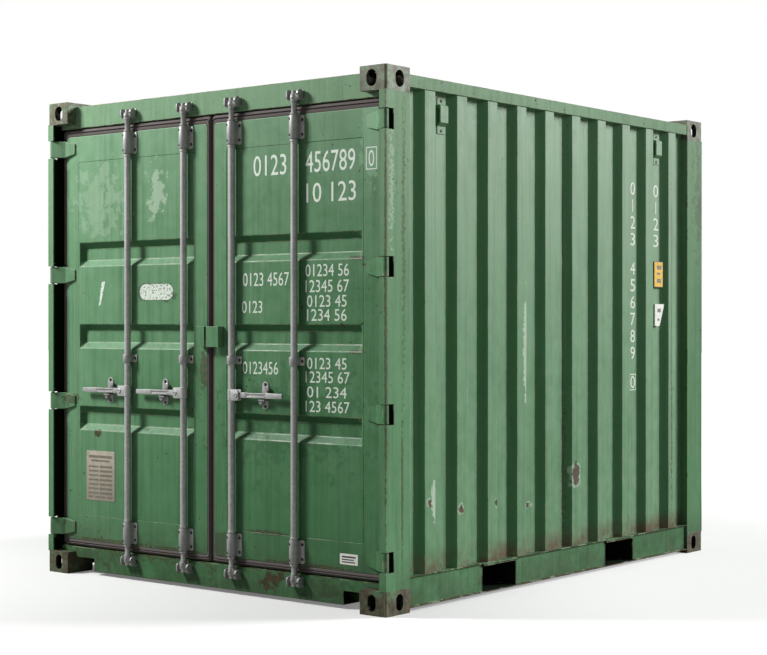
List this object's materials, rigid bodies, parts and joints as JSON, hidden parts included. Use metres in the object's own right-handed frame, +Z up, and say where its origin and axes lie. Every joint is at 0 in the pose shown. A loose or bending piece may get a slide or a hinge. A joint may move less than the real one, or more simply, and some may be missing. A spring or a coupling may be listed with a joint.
{
  "type": "freight container",
  "caption": "Short corrugated steel freight container with hinged end doors, turning lock rods, lifting handles and fork pockets.",
  "frame": {"origin": "middle of the footprint, on the plane the bottom corner castings rest on", "axes": "+Z up, the door end faces -Y, +X is to the right when facing the doors"},
  "size_m": [2.438, 2.991, 2.591],
  "materials": {
    "green_paint": "worn and weathered satin paint",
    "casting_paint": "thin worn paint over rusting cast steel",
    "zinc": "weathered galvanised steel",
    "seal_rubber": "matte, dusty",
    "plywood": "worn oiled plywood"
  },
  "bodies": {
    "container": {"top_corner_castings": "casting_paint", "bottom_corner_castings": "casting_paint", "right_door_post": "green_paint", "left_door_post": "green_paint", "right_end_post": "green_paint", "left_end_post": "green_paint", "door_header": "green_paint", "door_sill": "green_paint", "end_header": "green_paint", "end_sill": "green_paint", "right_top_rail": "green_paint", "left_top_rail": "green_paint", "right_bottom_rail": "green_paint", "left_bottom_rail": "green_paint", "right_side_wall": "green_paint", "left_side_wall": "green_paint", "end_wall": "green_paint", "roof_panel": "green_paint", "floor_boards": "plywood", "cross_members": "green_paint", "fork_pockets": "green_paint", "right_vents": "green_paint", "left_vents": "green_paint", "cam_keepers": "zinc", "hinge_pins": "zinc"},
    "left_door": {"left_leaf_frame": "green_paint", "left_leaf_panel": "green_paint", "left_gasket": "seal_rubber", "left_hinge_blades": "green_paint", "left_rod_brackets": "zinc", "left_handle_catches": "zinc", "left_seal_cover": "green_paint"},
    "right_door": {"right_leaf_frame": "green_paint", "right_leaf_panel": "green_paint", "right_gasket": "seal_rubber", "right_hinge_blades": "green_paint", "right_rod_brackets": "zinc", "right_handle_catch": "zinc", "right_seal_cover": "green_paint"},
    "rod_1": {"lock_rod_1": "zinc"},
    "rod_2": {"lock_rod_2": "zinc"},
    "rod_3": {"lock_rod_3": "zinc"},
    "rod_4": {"lock_rod_4": "zinc"},
    "lever_1": {"handle_1": "zinc"},
    "lever_2": {"handle_2": "zinc"},
    "lever_3": {"handle_3": "zinc"}
  },
  "joints": [
    {"name": "left_door_swing", "type": "hinge", "parent": "container", "child": "left_door", "pos_m": [-1.201, -1.4775, 1.3], "axis": [0, 0, -1], "range_deg": [0, 250]},
    {"name": "right_door_swing", "type": "hinge", "parent": "container", "child": "right_door", "pos_m": [1.201, -1.4775, 1.3], "axis": [0, 0, 1], "range_deg": [0, 250]},
    {"name": "rod_1_turn", "type": "hinge", "parent": "left_door", "child": "rod_1", "pos_m": [-0.605, -1.4625, 1.3], "axis": [0, 0, -1], "range_deg": [-100, 0]},
    {"name": "rod_2_turn", "type": "hinge", "parent": "left_door", "child": "rod_2", "pos_m": [-0.175, -1.4625, 1.3], "axis": [0, 0, -1], "range_deg": [-100, 0]},
    {"name": "rod_3_turn", "type": "hinge", "parent": "right_door", "child": "rod_3", "pos_m": [0.175, -1.4625, 1.3], "axis": [0, 0, 1], "range_deg": [-100, 0]},
    {"name": "rod_4_turn", "type": "hinge", "parent": "right_door", "child": "rod_4", "pos_m": [0.605, -1.4625, 1.3], "axis": [0, 0, 1], "range_deg": [-100, 0]},
    {"name": "handle_1_lift", "type": "hinge", "parent": "rod_1", "child": "lever_1", "pos_m": [-0.651, -1.4665, 1.015], "axis": [0, 1, 0], "range_deg": [0, 12]},
    {"name": "handle_2_lift", "type": "hinge", "parent": "rod_2", "child": "lever_2", "pos_m": [-0.221, -1.4665, 1.015], "axis": [0, 1, 0], "range_deg": [0, 12]},
    {"name": "handle_3_lift", "type": "hinge", "parent": "rod_3", "child": "lever_3", "pos_m": [0.221, -1.4665, 1.015], "axis": [0, -1, 0], "range_deg": [0, 12]}
  ]
}
